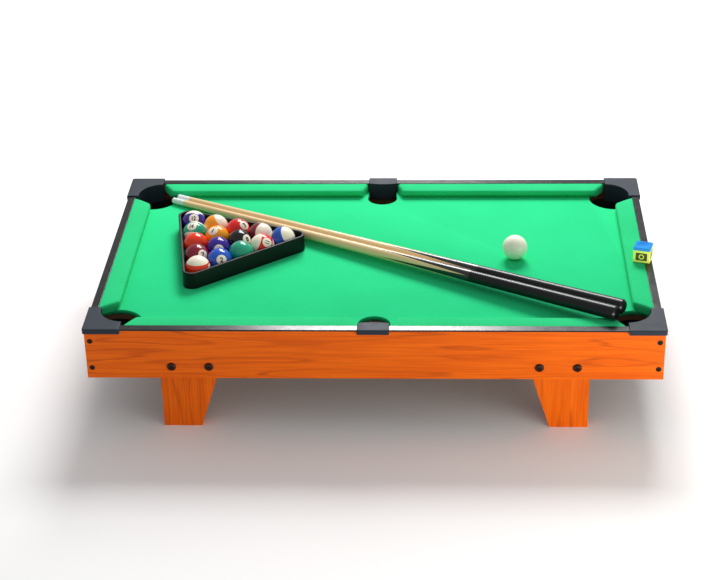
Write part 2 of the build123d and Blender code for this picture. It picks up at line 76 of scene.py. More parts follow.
def add_node(material, kind, inputs, **settings):
    """Add one node: inputs maps each socket to a value, or to the socket that feeds it."""
    node = material.node_tree.nodes.new(kind)
    for setting, value in settings.items():
        setattr(node, setting, value)
    for socket, value in inputs.items():
        if isinstance(socket, str):
            entry = next(s for s in node.inputs if s.name == socket and s.enabled)
        else:
            entry = node.inputs[socket]
        if isinstance(value, bpy.types.NodeSocket):
            material.node_tree.links.new(value, entry)
        else:
            entry.default_value = value
    return next((s for s in node.outputs if s.enabled), node)


def finish_nodes(names, material):
    """Give CAD nodes their finished material."""
    for name in names:
        for place in nodes[name].material_slots:
            place.material = material


def grain_scale(along, size):
    """Object-coordinate scale of a grain with size (length, width) in mm along one axis."""
    return tuple(1 / (size[0] * MM) if axis == along else 1 / (size[1] * MM) for axis in "XYZ")


def fibreboard_colour(material, position):
    """Speckled brown of pressed wood fibres, clumped about a millimetre across."""
    fibres = add_node(
        material,
        "ShaderNodeTexNoise",
        {"Vector": position, "Scale": 1 / (FIBRE_SIZE * MM), "Detail": 4.0, "Roughness": 0.7},
    )
    return add_node(
        material,
        "ShaderNodeMix",
        {"Factor": fibres, "A": linear(BOARD_DARK), "B": linear(BOARD_PALE)},
        data_type="RGBA",
    )


def cherry_foil(name, along, outer):
    """Cherry foil grained along one axis: beyond the outer limits, or all over if there are none."""
    material = start_material(name)
    position = add_node(material, "ShaderNodeTexCoord", {}).node.outputs["Object"]
    streak_place = add_node(
        material, "ShaderNodeMapping", {"Vector": position, "Scale": grain_scale(along, GRAIN_STREAK)}
    )
    streaks = add_node(
        material,
        "ShaderNodeTexNoise",
        {"Vector": streak_place, "Scale": 1.0, "Detail": 5.0, "Roughness": 0.6},
    )
    figure_place = add_node(
        material, "ShaderNodeMapping", {"Vector": position, "Scale": grain_scale(along, GRAIN_FIGURE)}
    )
    hills = add_node(material, "ShaderNodeTexNoise", {"Vector": figure_place, "Scale": 1.0, "Detail": 1.5})
    rings = add_node(material, "ShaderNodeMath", {0: hills, 1: FIGURE_RINGS}, operation="MULTIPLY")
    lines = add_node(material, "ShaderNodeMath", {0: rings, 1: 0.5}, operation="PINGPONG")
    line_band = add_node(
        material,
        "ShaderNodeMapRange",
        {"Value": lines, 1: 0.0, 2: LINE_WIDTH, 3: 1.0, 4: 0.0},
        interpolation_type="SMOOTHSTEP",
    )
    soft_streaks = add_node(
        material, "ShaderNodeMapRange", {"Value": streaks, 1: 0.32, 2: 0.68, 3: 0.0, 4: 1.0}
    )
    tone = add_node(
        material,
        "ShaderNodeMix",
        {"Factor": soft_streaks, "A": linear(FOIL_DEEP), "B": linear(FOIL_LIGHT)},
        data_type="RGBA",
    )
    line_weight = add_node(material, "ShaderNodeMath", {0: line_band, 1: soft_streaks}, operation="MULTIPLY")
    printed = add_node(
        material,
        "ShaderNodeMix",
        {"Factor": line_weight, "A": tone, "B": linear(FOIL_LINE)},
        data_type="RGBA",
    )
    colour = printed
    if outer:
        split = add_node(material, "ShaderNodeSeparateXYZ", {"Vector": position}).node
        wrapped = None
        for axis, limit in outer.items():
            distance = add_node(material, "ShaderNodeMath", {0: split.outputs[axis]}, operation="ABSOLUTE")
            beyond = add_node(material, "ShaderNodeMath", {0: distance, 1: limit}, operation="GREATER_THAN")
            wrapped = beyond if wrapped is None else add_node(
                material, "ShaderNodeMath", {0: wrapped, 1: beyond}, operation="MAXIMUM"
            )
        colour = add_node(
            material,
            "ShaderNodeMix",
            {"Factor": wrapped, "A": fibreboard_colour(material, position), "B": printed},
            data_type="RGBA",
        )
    pores = add_node(material, "ShaderNodeBump", {"Height": streaks, "Strength": 0.25, "Distance": 0.05 * MM})
    surface = add_node(
        material,
        "ShaderNodeBsdfPrincipled",
        {"Base Color": colour, "Roughness": 0.38, "IOR": 1.48, "Specular IOR Level": 0.15, "Normal": pores},
    )
    add_node(material, "ShaderNodeOutputMaterial", {"Surface": surface})
    return material


FOIL_EDGE = 0.1 * MM
table_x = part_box("right_apron")[1].x - FOIL_EDGE
table_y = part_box("back_apron")[1].y - FOIL_EDGE
long_foil = cherry_foil("cherry_foil_long", "X", {"X": table_x, "Y": table_y})
end_foil = cherry_foil("cherry_foil_end", "Y", {"X": table_x})
finish_nodes(["front_apron", "back_apron"], long_foil)
finish_nodes(["left_apron", "right_apron"], end_foil)

# ---- Legs -----------------------------------------------------------------------------------
# Four flat panels of the same foil-wrapped board, bolted behind the long aprons with their
# grain upright.
LEGS = ["front_left_leg", "front_right_leg", "back_left_leg", "back_right_leg"]
finish_nodes(LEGS, cherry_foil("cherry_foil_upright", "Z", {}))

# ---- Bed board ------------------------------------------------------------------------------
# One plate of raw fibreboard, let into grooves in the aprons, with the pocket mouths sawn out.
FUZZ_SIZE = 0.4
raw_board = start_material("raw_fibreboard")
board_position = add_node(raw_board, "ShaderNodeTexCoord", {}).node.outputs["Object"]
board_colour = fibreboard_colour(raw_board, board_position)
board_fibres = add_node(
    raw_board, "ShaderNodeTexNoise", {"Vector": board_position, "Scale": 1 / (FUZZ_SIZE * MM)}
)
board_bump = add_node(
    raw_board, "ShaderNodeBump", {"Height": board_fibres, "Strength": 0.4, "Distance": 0.1 * MM}
)
board_surface = add_node(
    raw_board,
    "ShaderNodeBsdfPrincipled",
    {"Base Color": board_colour, "Roughness": 0.85, "Normal": board_bump},
)
add_node(raw_board, "ShaderNodeOutputMaterial", {"Surface": board_surface})
finish_nodes(["bed_board"], raw_board)

# ---- Bed cloth ------------------------------------------------------------------------------
# Short-napped green cloth glued flat over the board, rolled down a few millimetres into each
# pocket mouth.
CLOTH_GREEN = "#2ADA8F"
CLOTH_SHADE = "#23CE83"
NAP_SIZE = 0.7
CLOUD_SIZE = 45.0
CLOTH_THICK = 0.5
# Steps down into a pocket, each as (outward, down).
CLOTH_ROLL = ((0.22, 0.08), (0.18, 0.2), (0.1, 0.35), (0.0, 3.6))
RIM_TOLERANCE = 0.05


def green_cloth(name, light, shade, sheen):
    """Brushed polyester cloth: even green with a fine nap that catches light at low angles."""
    material = start_material(name)
    position = add_node(material, "ShaderNodeTexCoord", {}).node.outputs["Object"]
    nap = add_node(
        material,
        "ShaderNodeTexNoise",
        {"Vector": position, "Scale": 1 / (NAP_SIZE * MM), "Detail": 3.0, "Roughness": 0.65},
    )
    cloud = add_node(
        material,
        "ShaderNodeTexNoise",
        {"Vector": position, "Scale": 1 / (CLOUD_SIZE * MM), "Detail": 2.0},
    )
    both = add_node(material, "ShaderNodeMix", {"Factor": 0.25, "A": nap, "B": cloud})
    spread = add_node(material, "ShaderNodeMapRange", {"Value": both, 1: 0.35, 2: 0.65, 3: 0.0, 4: 1.0})
    colour = add_node(
        material,
        "ShaderNodeMix",
        {"Factor": spread, "A": linear(shade), "B": linear(light)},
        data_type="RGBA",
    )
    bump = add_node(material, "ShaderNodeBump", {"Height": nap, "Strength": 0.35, "Distance": 0.12 * MM})
    surface = add_node(
        material,
        "ShaderNodeBsdfPrincipled",
        {
            "Base Color": colour,
            "Roughness": 0.95,
            "Specular IOR Level": 0.15,
            "Sheen Weight": sheen,
            "Sheen Roughness": 0.5,
            "Sheen Tint": linear(light),
            "Normal": bump,
        },
    )
    add_node(material, "ShaderNodeOutputMaterial", {"Surface": surface})
    return material


def finish_piece(name, bm, material, body, stands_for=(), sharp=35):
    """Turn a bmesh drawn in millimetres into a finished piece that rides on a body."""
    bmesh.ops.scale(bm, vec=(MM, MM, MM), verts=bm.verts)
    mesh = bpy.data.meshes.new(name)
    bm.to_mesh(mesh)
    bm.free()
    mesh.shade_smooth()
    mesh.set_sharp_from_angle(angle=radians(sharp))
    mesh.materials.append(material)
    piece = bpy.data.objects.new(name, mesh)
    bpy.context.scene.collection.objects.link(piece)
    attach(piece, body)
    if stands_for:
        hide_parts(*stands_for)
    return piece


def away_from_cloth(rim):
    """Plan direction out of the cloth at each vertex of the rim's edges."""
    away = {}
    for edge in rim:
        corner = edge.link_loops[0]
        along = corner.link_loop_next.vert.co - corner.vert.co
        for vertex in edge.verts:
            away[vertex] = away.get(vertex, Vector()) + Vector((along.y, -along.x, 0)).normalized()
    return {vertex: direction.normalized() for vertex, direction in away.items()}


def at_cloth_edge(vertex, half_size):
    """Whether a vertex lies on the cloth's straight outer edges, under the aprons' trims."""
    reach = (abs(abs(vertex.co.x) - half_size.x), abs(abs(vertex.co.y) - half_size.y))
    return min(reach) < RIM_TOLERANCE


bed = bmesh.new()
bed.from_mesh(nodes["bed_cloth"].data)
bmesh.ops.scale(bed, vec=(1 / MM, 1 / MM, 1 / MM), verts=bed.verts)
bmesh.ops.remove_doubles(bed, verts=bed.verts, dist=0.001)
lower_faces = [f for f in bed.faces if f.normal.z < 0.9]
bmesh.ops.delete(bed, geom=lower_faces, context="FACES")
bmesh.ops.dissolve_limit(bed, angle_limit=radians(1), verts=bed.verts, edges=bed.edges)
flat_area = sum(f.calc_area() for f in bed.faces) * MM * MM
bed_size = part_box("bed_cloth")[1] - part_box("bed_cloth")[0]
half_cloth = bed_size / 2 / MM
rim = [e for e in bed.edges if e.is_boundary and not all(at_cloth_edge(v, half_cloth) for v in e.verts)]
away = {tuple(vertex.co.xy): direction for vertex, direction in away_from_cloth(rim).items()}
for outward, down in CLOTH_ROLL:
    rolled = bmesh.ops.extrude_edge_only(bed, edges=rim)["geom"]
    lip = [g for g in rolled if isinstance(g, bmesh.types.BMVert)]
    rim = [g for g in rolled if isinstance(g, bmesh.types.BMEdge) and all(v in lip for v in g.verts)]
    moved = {}
    for vertex in lip:
        direction = away[tuple(vertex.co.xy)]
        vertex.co += direction * outward - Vector((0, 0, down))
        moved[tuple(vertex.co.xy)] = direction
    away = moved
bmesh.ops.recalc_face_normals(bed, faces=bed.faces)
if max(bed.faces, key=lambda f: f.calc_area()).normal.z < 0:
    bmesh.ops.reverse_faces(bed, faces=bed.faces)
bed_green = green_cloth("brushed_green_cloth", CLOTH_GREEN, CLOTH_SHADE, 0.25)
bed_piece = finish_piece("bed_felt", bed, bed_green, "table", ["bed_cloth"])
thickness = bed_piece.modifiers.new("cloth thickness", "SOLIDIFY")
thickness.thickness = CLOTH_THICK * MM
thickness.offset = -1

# ---- Cushions -------------------------------------------------------------------------------
# Six strips of firm foam in green cloth, pulled tight over the nose and glued below. Their ends
# are mitred at the pockets, where the cloth is folded in and pulls the edges round.
CUSHION_GREEN = "#2FD489"
CUSHION_SHADE = "#22BC74"
CUSHION_WIDE = 17.0
CUSHION_FOOT = 2.5
UNDERCUT = 3.0
NOSE_R = 2.2
CHIN_R = 0.8
CROWN = 0.35
END_ROUND = 3.2
ROUND_STEPS = 5
LONG_MITRES = (5.4, 10.6)
END_MITRE = 12.5
CROWN_STEPS = 6
ARC_STEPS = 5
STRIP_LENGTH = 6.0


def cushion_section(height):
    """Corners of the strip's section as (distance from the nose, height), crowned on top."""
    points = [(CUSHION_WIDE, 0.0), (CUSHION_FOOT, 0.0)]
    for angle in (radians(75), radians(40)):
        points.append((CHIN_R * (1 - sin(angle)), UNDERCUT + CHIN_R * (1 - cos(angle)) / 2))
    for step in range(ARC_STEPS + 1):
        angle = radians(90 * step / ARC_STEPS)
        points.append((NOSE_R - NOSE_R * cos(angle), height - CROWN - NOSE_R + NOSE_R * sin(angle)))
    run = CUSHION_WIDE - NOSE_R
    for step in range(1, CROWN_STEPS + 1):
        share = step / CROWN_STEPS
        points.append((NOSE_R + run * share, height - CROWN + CROWN * sin(pi * share)))
    return points


def cushion_stations(length):
    """Places along the strip, each with how far the cloth draws the section in: most at the ends."""
    quarter = [radians(90 * step / ROUND_STEPS) for step in range(ROUND_STEPS + 1)]
    start = [(END_ROUND * (1 - cos(angle)), END_ROUND * (1 - sin(angle))) for angle in quarter]
    straight = length - 2 * END_ROUND
    pieces = round(straight / STRIP_LENGTH)
    middle = [(END_ROUND + straight * count / pieces, 0.0) for count in range(1, pieces)]
    return start + middle + [(length - distance, drawn) for distance, drawn in reversed(start)]


def cushion(name, mitres, place):
    """A crowned strip along X with its nose towards -Y, mitred and rounded at both ends, then placed."""
    low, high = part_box(name)
    size = (high - low) / MM
    length = max(size.x, size.y)
    stations = cushion_stations(length)
    strip = bmesh.new()
    corners = [strip.verts.new((0, distance, height)) for distance, height in cushion_section(size.z)]
    end_face = strip.faces.new(corners)
    far_end = bmesh.ops.extrude_face_region(strip, geom=[end_face])["geom"]
    far_corners = [g for g in far_end if isinstance(g, bmesh.types.BMVert)]
    bmesh.ops.translate(strip, vec=(length, 0, 0), verts=far_corners)
    along = [e for e in strip.edges if abs(e.verts[0].co.x - e.verts[1].co.x) > 1]
    bmesh.ops.subdivide_edges(strip, edges=along, cuts=len(stations) - 2, use_grid_fill=True)
    for vertex in strip.verts:
        distance, drawn = stations[round(vertex.co.x / length * (len(stations) - 1))]
        vertex.co.y = CUSHION_WIDE - (CUSHION_WIDE - vertex.co.y) * (1 - drawn / CUSHION_WIDE)
        vertex.co.z *= 1 - drawn / size.z
        share = distance / length
        reach = 1 - vertex.co.y / CUSHION_WIDE
        vertex.co.x = distance + reach * (mitres[0] * (1 - share) - mitres[1] * share)
    bmesh.ops.transform(strip, matrix=place, verts=strip.verts)
    bmesh.ops.recalc_face_normals(strip, faces=strip.faces)
    piece = finish_piece(f"{name}_cover", strip, cushion_green, "table", [name], sharp=60)


cushion_green = green_cloth("stretched_green_cloth", CUSHION_GREEN, CUSHION_SHADE, 0.3)
for rail, sy in (("front", -1), ("back", 1)):
    for side, sx in (("left", -1), ("right", 1)):
        low, high = (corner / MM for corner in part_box(f"{rail}_{side}_cushion"))
        mitres = LONG_MITRES if sx > 0 else LONG_MITRES[::-1]
        if sy > 0:
            place = Matrix.Translation((low.x, low.y, low.z))
        else:
            place = Matrix.Translation((low.x, high.y, low.z)) @ Matrix.Scale(-1, 4, (0, 1, 0))
        cushion(f"{rail}_{side}_cushion", mitres, place)
for side, sx in (("left", -1), ("right", 1)):
    low, high = (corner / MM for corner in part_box(f"{side}_cushion"))
    nose_x = low.x if sx > 0 else high.x
    turned = Matrix.Rotation(radians(-90 * sx), 4, "Z")
    place = Matrix.Translation((nose_x, high.y if sx > 0 else low.y, low.z)) @ turned
    cushion(f"{side}_cushion", (END_MITRE, END_MITRE), place)

# ---- Rail trims -----------------------------------------------------------------------------
# Gloss black extruded strips glued along the apron tops, smooth enough to mirror the lights.
extruded_black = start_material("gloss_black_extrusion")
trim_position = add_node(extruded_black, "ShaderNodeTexCoord", {}).node.outputs["Object"]
trim_waves = add_node(
    extruded_black, "ShaderNodeTexNoise", {"Vector": trim_position, "Scale": 1 / (30 * MM)}
)
trim_smears = add_node(
    extruded_black, "ShaderNodeTexNoise", {"Vector": trim_position, "Scale": 1 / (9 * MM), "Detail": 4.0}
)
trim_rough = add_node(extruded_black, "ShaderNodeMapRange", {"Value": trim_smears, 3: 0.16, 4: 0.3})
trim_bump = add_node(
    extruded_black, "ShaderNodeBump", {"Height": trim_waves, "Strength": 0.08, "Distance": 0.05 * MM}
)
trim_surface = add_node(
    extruded_black,
    "ShaderNodeBsdfPrincipled",
    {
        "Base Color": linear("#0F1012"),
        "Roughness": trim_rough,
        "IOR": 1.52,
        "Specular IOR Level": 0.3,
        "Normal": trim_bump,
    },
)
add_node(extruded_black, "ShaderNodeOutputMaterial", {"Surface": trim_surface})
finish_nodes(["front_trim", "back_trim", "left_trim", "right_trim"], extruded_black)

# ---- Pocket caps and cups -------------------------------------------------------------------
# Injection-moulded ABS with a fine spark-eroded grain: blue-grey black caps over the corners and
# side pockets, and plain black cups screwed under the bed.
SPARK_GRAIN = 0.35
HANDLING_MARK = 12.0


def moulded_plastic(name, colour, roughness, grain, gloss=0.5):
    """Moulded plastic with an even fine grain of about a third of a millimetre."""
    material = start_material(name)
    position = add_node(material, "ShaderNodeTexCoord", {}).node.outputs["Object"]
    sparks = add_node(
        material, "ShaderNodeTexNoise", {"Vector": position, "Scale": 1 / (SPARK_GRAIN * MM), "Detail": 2.0}
    )
    marks = add_node(
        material,
        "ShaderNodeTexNoise",
        {"Vector": position, "Scale": 1 / (HANDLING_MARK * MM), "Detail": 5.0},
    )
    rough = add_node(
        material, "ShaderNodeMapRange", {"Value": marks, 3: roughness - 0.08, 4: roughness + 0.1}
    )
    bump = add_node(
        material, "ShaderNodeBump", {"Height": sparks, "Strength": grain, "Distance": 0.05 * MM}
    )
    surface = add_node(
        material,
        "ShaderNodeBsdfPrincipled",
        {
            "Base Color": linear(colour),
            "Roughness": rough,
            "IOR": 1.54,
            "Specular IOR Level": gloss,
            "Normal": bump,
        },
    )
    add_node(material, "ShaderNodeOutputMaterial", {"Surface": surface})
    return material


POCKETS = ["front_left", "front_right", "back_left", "back_right", "front_side", "back_side"]
cap_plastic = moulded_plastic("spark_grained_abs", "#252E39", 0.52, 0.4, 0.15)
cup_plastic = moulded_plastic("plain_black_abs", "#141414", 0.5, 0.25)
finish_nodes([f"{pocket}_cap" for pocket in POCKETS], cap_plastic)
finish_nodes([f"{pocket}_cup" for pocket in POCKETS], cup_plastic)

# ---- Fasteners ------------------------------------------------------------------------------
# Blackened steel screws, bolts and nuts, cold-headed and phosphated to a dull dark film.
blackened = start_material("blackened_steel")
steel_position = add_node(blackened, "ShaderNodeTexCoord", {}).node.outputs["Object"]
film = add_node(
    blackened, "ShaderNodeTexNoise", {"Vector": steel_position, "Scale": 1 / (0.9 * MM), "Detail": 4.0}
)
film_colour = add_node(
    blackened,
    "ShaderNodeMix",
    {"Factor": film, "A": linear("#120806"), "B": linear("#43200F")},
    data_type="RGBA",
)
film_rough = add_node(blackened, "ShaderNodeMapRange", {"Value": film, 3: 0.25, 4: 0.5})
steel_surface = add_node(
    blackened,
    "ShaderNodeBsdfPrincipled",
    {"Base Color": film_colour, "Metallic": 0.6, "Roughness": film_rough},
)
add_node(blackened, "ShaderNodeOutputMaterial", {"Surface": steel_surface})
finish_nodes(["leg_nuts"], blackened)

HEAD_SEGMENTS = 48
HEAD_TURN = 37
CUP_FLANGE = 1.8
# Profiles as (radius, height) from the head's face to the tip.
CORNER_SCREW = ((2.5, 0.0), (2.6, -0.1), (1.25, -1.35), (1.25, -22.0), (0.3, -24.0))
LEG_BOLT = ((2.3, 1.7), (3.1, 1.45), (3.65, 1.0), (3.95, 0.45), (4.0, 0.0), (1.95, 0.0), (1.95, -21.9))
CUP_SCREW = ((1.6, 1.5), (2.2, 1.25), (2.45, 0.7), (2.5, 0.0), (1.25, 0.0), (1.25, -6.6), (0.3, -7.8))
# Cross recesses as (arm, half width, depth).
CORNER_CROSS = (1.45, 0.36, 1.0)
LEG_CROSS = (1.7, 0.42, 1.1)
CUP_CROSS = (1.2, 0.32, 0.9)
LEG_BOLT_X = (145.3, 178.4)
CORNER_CUP_SCREWS = ((199.0, 122.0), (225.0, 96.5))
SIDE_CUP_SCREW = (28.0, 126.0)


def cross_radius(angle, arm, half_width):
    """Distance from the centre to the outline of a cross recess in one direction."""
    wide, narrow = sorted((abs(cos(angle)), abs(sin(angle))), reverse=True)
    return min(arm / wide, half_width / max(narrow, 0.001))


def turned_fastener(profile, arm, half_width, depth):
    """A fastener along Z, turned to a profile, with a cross sunk in its head."""
    part = bmesh.new()
    bmesh.ops.create_circle(part, cap_ends=True, segments=HEAD_SEGMENTS, radius=profile[0][0])
    part.faces.ensure_lookup_table()
    driver = part.faces[0]
    rim = list(driver.edges)
    bmesh.ops.inset_region(part, faces=[driver], thickness=0.1)
    for vertex in driver.verts:
        angle = atan2(vertex.co.y, vertex.co.x)
        reach = cross_radius(angle, arm, half_width)
        vertex.co = Vector((reach * cos(angle), reach * sin(angle), 0))
    recess_floor = bmesh.ops.extrude_face_region(part, geom=[driver])["geom"]
    sunk = [g for g in recess_floor if isinstance(g, bmesh.types.BMVert)]
    bmesh.ops.translate(part, vec=(0, 0, -depth), verts=sunk)
    bmesh.ops.delete(part, geom=[driver], context="FACES_ONLY")
    bmesh.ops.translate(part, vec=(0, 0, profile[0][1]), verts=part.verts)
    for radius, height in profile[1:]:
        ring = bmesh.ops.extrude_edge_only(part, edges=rim)["geom"]
        turned = [g for g in ring if isinstance(g, bmesh.types.BMVert)]
        rim = [g for g in ring if isinstance(g, bmesh.types.BMEdge) and all(v in turned for v in g.verts)]
        for vertex in turned:
            angle = atan2(vertex.co.y, vertex.co.x)
            vertex.co = Vector((radius * cos(angle), radius * sin(angle), height))
    bmesh.ops.contextual_create(part, geom=rim)
    bmesh.ops.recalc_face_normals(part, faces=part.faces)
    return part


def fastener_group(name, template, places, node):
    """Copies of one fastener, each given by its seat and the way its head faces, as one piece."""
    single = bpy.data.meshes.new("single")
    template.to_mesh(single)
    template.free()
    group = bmesh.new()
    for count, (seat, facing) in enumerate(places):
        before = len(group.verts)
        group.from_mesh(single)
        group.verts.ensure_lookup_table()
        spin = Matrix.Rotation(radians(HEAD_TURN * count), 4, "Z")
        turn = Vector(facing).to_track_quat("Z", "Y").to_matrix().to_4x4() @ spin
        bmesh.ops.transform(group, matrix=Matrix.Translation(seat) @ turn, verts=group.verts[before:])
    bpy.data.meshes.remove(single)
    finish_piece(name, group, blackened, "table", [node], sharp=30)


screw_low, screw_high = (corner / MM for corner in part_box("apron_screws"))
head_radius = CORNER_SCREW[1][0]
corner_seats = []
bolt_seats = []
cup_seats = []
leg_bolt_z = (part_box("leg_bolts")[0].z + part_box("leg_bolts")[1].z) / 2 / MM
board_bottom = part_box("bed_board")[0].z / MM
cup_seat_z = board_bottom - CUP_FLANGE
for sy in (-1, 1):
    for sx in (-1, 1):
        for z in (screw_low.z + head_radius, screw_high.z - head_radius):
            corner_seats.append(((sx * (screw_high.x - head_radius), sy * screw_high.y, z), (0, sy, 0)))
        for x in LEG_BOLT_X:
            bolt_seats.append(((sx * x, sy * screw_high.y, leg_bolt_z), (0, sy, 0)))
        for x, y in (*CORNER_CUP_SCREWS, SIDE_CUP_SCREW):
            cup_seats.append(((sx * x, sy * y, cup_seat_z), (0, 0, -1)))
corner_screw = turned_fastener(CORNER_SCREW, *CORNER_CROSS)
leg_bolt = turned_fastener(LEG_BOLT, *LEG_CROSS)
cup_screw = turned_fastener(CUP_SCREW, *CUP_CROSS)
fastener_group("corner_screws", corner_screw, corner_seats, "apron_screws")
fastener_group("domed_leg_bolts", leg_bolt, bolt_seats, "leg_bolts")
fastener_group("pan_head_cup_screws", cup_screw, cup_seats, "cup_screws")

# ---- Rack -----------------------------------------------------------------------------------
# A triangle of satin black polypropylene, moulded in one piece.
finish_nodes(["rack"], moulded_plastic("satin_black_polypropylene", "#0A0D10", 0.45, 0.3, 0.2))

# ---- Balls ----------------------------------------------------------------------------------
# Cast polyester resin, turned and polished. Solids are one colour; stripes are white with a
# coloured band; each has two white spots, opposite each other, with its number in black.
BALL_WHITE = "#F6EED8"
BALL_COLOURS = {
    1: "#F79B0C",
    2: "#1452BE",
    3: "#DE1410",
    4: "#33188F",
    5: "#F03606",
    6: "#16A07C",
    7: "#7E0A26",
    8: "#07090B",
}
STRIPE_HALF = 5.9
SPOT_R = 4.7
DIGIT_HEIGHT = 4.9
DIGIT_BOLD = 0.04
DIGIT_RAISE = 0.02
DIGIT_THICK = 0.05
PAIR_NARROW = 0.72
LONGEST_EDGE = 0.8
# Each ball's spot and the pole of its stripe, as (bearing from +X, rise above level) in degrees.
FACINGS = {
    1: ((-122, 55), (60, 30)),
    2: ((-72, 27), (100, 60)),
    3: ((-32, 42), (150, 45)),
    4: ((-80, 24), (100, 66)),
    5: ((-82, -50), (-82, 40)),
    6: ((-82, -50), (-82, 40)),
    7: ((-48, 20), (120, 60)),
    8: ((-36, 14), (140, 60)),
    9: ((-80, -45), (8, 36)),
    10: ((-80, -50), (-14, 34)),
    11: ((-50, 40), (-168, 30)),
    12: ((-85, 2), (92, 42)),
    13: ((172, 5), (96, 84)),
    14: ((-112, 62), (80, 25)),
    15: ((-88, -50), (-44, 26)),
}


def towards(bearing, rise):
    """Unit vector at a bearing from +X and a rise above level."""
    flat = cos(radians(rise))
    return Vector((flat * cos(radians(bearing)), flat * sin(radians(bearing)), sin(radians(rise))))


def ball_frame(spot, pole):
    """Turn of a ball whose +Z goes through the pole of its stripe and +X through its spot."""
    up = towards(*pole)
    side = up.cross(towards(*spot)).normalized()
    return Matrix((side.cross(up), side, up)).transposed().to_4x4()


def cast_resin(name, colour, centre, turn, radius, striped, spotted):
    """Polished resin: a clear hard gloss over colour that runs right through."""
    material = start_material(name)
    position = add_node(material, "ShaderNodeTexCoord", {}).node.outputs["Object"]
    local = add_node(
        material,
        "ShaderNodeMapping",
        {"Vector": position, "Location": centre, "Rotation": turn.to_euler()},
        vector_type="TEXTURE",
    )
    cloud = add_node(
        material, "ShaderNodeTexNoise", {"Vector": local, "Scale": 1 / (8 * MM), "Detail": 2.0}
    )
    brightness = add_node(material, "ShaderNodeMapRange", {"Value": cloud, 3: 0.9, 4: 1.1})
    body_colour = add_node(
        material, "ShaderNodeHueSaturation", {"Color": linear(colour), "Value": brightness}
    )
    split = add_node(material, "ShaderNodeSeparateXYZ", {"Vector": local}).node
    shown = body_colour
    if striped:
        height = add_node(material, "ShaderNodeMath", {0: split.outputs["Z"]}, operation="ABSOLUTE")
        in_band = add_node(
            material, "ShaderNodeMath", {0: height, 1: STRIPE_HALF * MM}, operation="LESS_THAN"
        )
        shown = add_node(
            material,
            "ShaderNodeMix",
            {"Factor": in_band, "A": linear(BALL_WHITE), "B": body_colour},
            data_type="RGBA",
        )
    if spotted:
        across = add_node(material, "ShaderNodeMath", {0: split.outputs["X"]}, operation="ABSOLUTE")
        spot_edge = sqrt(radius**2 - (SPOT_R * MM) ** 2)
        in_spot = add_node(material, "ShaderNodeMath", {0: across, 1: spot_edge}, operation="GREATER_THAN")
        shown = add_node(
            material,
            "ShaderNodeMix",
            {"Factor": in_spot, "A": shown, "B": linear(BALL_WHITE)},
            data_type="RGBA",
        )
    surface = add_node(
        material,
        "ShaderNodeBsdfPrincipled",
        {
            "Base Color": shown,
            "Roughness": 0.18,
            "IOR": 1.56,
            "Specular IOR Level": 0.35,
            "Coat Weight": 0.15,
            "Coat Roughness": 0.08,
        },
    )
    add_node(material, "ShaderNodeOutputMaterial", {"Surface": surface})
    return material


def turned_ball(name, colour, turn, striped, spotted):
    """A ball on the place of its CAD solid, fine enough to look round close up."""
    low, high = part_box(name)
    centre = (low + high) / 2
    radius = (high.z - low.z) / 2
    sphere = bmesh.new()
    bmesh.ops.create_uvsphere(sphere, u_segments=64, v_segments=40, radius=radius / MM)
    bmesh.ops.transform(sphere, matrix=Matrix.Translation(centre / MM), verts=sphere.verts)
    resin = cast_resin(f"{name}_resin", colour, centre, turn, radius, striped, spotted)
    finish_piece(f"{name}_turned", sphere, resin, name, [name], sharp=180)
    return centre, radius


printed_black = start_material("moulded_in_black_digits")
ink_surface = add_node(
    printed_black,
    "ShaderNodeBsdfPrincipled",
    {
        "Base Color": linear("#101012"),
        "Roughness": 0.15,
        "IOR": 1.56,
        "Coat Weight": 0.5,
        "Coat Roughness": 0.04,
    },
)
add_node(printed_black, "ShaderNodeOutputMaterial", {"Surface": ink_surface})


def digits_mesh(number):
    """Flat digits in mm, centred on the origin in the XY plane."""
    curve = bpy.data.curves.new("digits", "FONT")
    curve.body = str(number)
    curve.align_x = "CENTER"
    curve.resolution_u = 3
    curve.offset = DIGIT_BOLD
    holder = bpy.data.objects.new("digits", curve)
    flat = bpy.data.meshes.new_from_object(holder)
    digits = bmesh.new()
    digits.from_mesh(flat)
    bpy.data.objects.remove(holder)
    bpy.data.curves.remove(curve)
    bpy.data.meshes.remove(flat)
    tops = [v.co.y for v in digits.verts]
    scale = DIGIT_HEIGHT / (max(tops) - min(tops))
    sides = [v.co.x for v in digits.verts]
    middle = Vector((max(sides) + min(sides), max(tops) + min(tops), 0)) / 2
    bmesh.ops.translate(digits, vec=-middle, verts=digits.verts)
    narrow = PAIR_NARROW if number > 9 else 1.0
    bmesh.ops.scale(digits, vec=(scale * narrow, scale, 1), verts=digits.verts)
    bmesh.ops.triangulate(digits, faces=digits.faces)
    long_edges = [e for e in digits.edges if e.calc_length() > LONGEST_EDGE]
    bmesh.ops.subdivide_edges(digits, edges=long_edges, cuts=2)
    bmesh.ops.triangulate(digits, faces=digits.faces)
    return digits


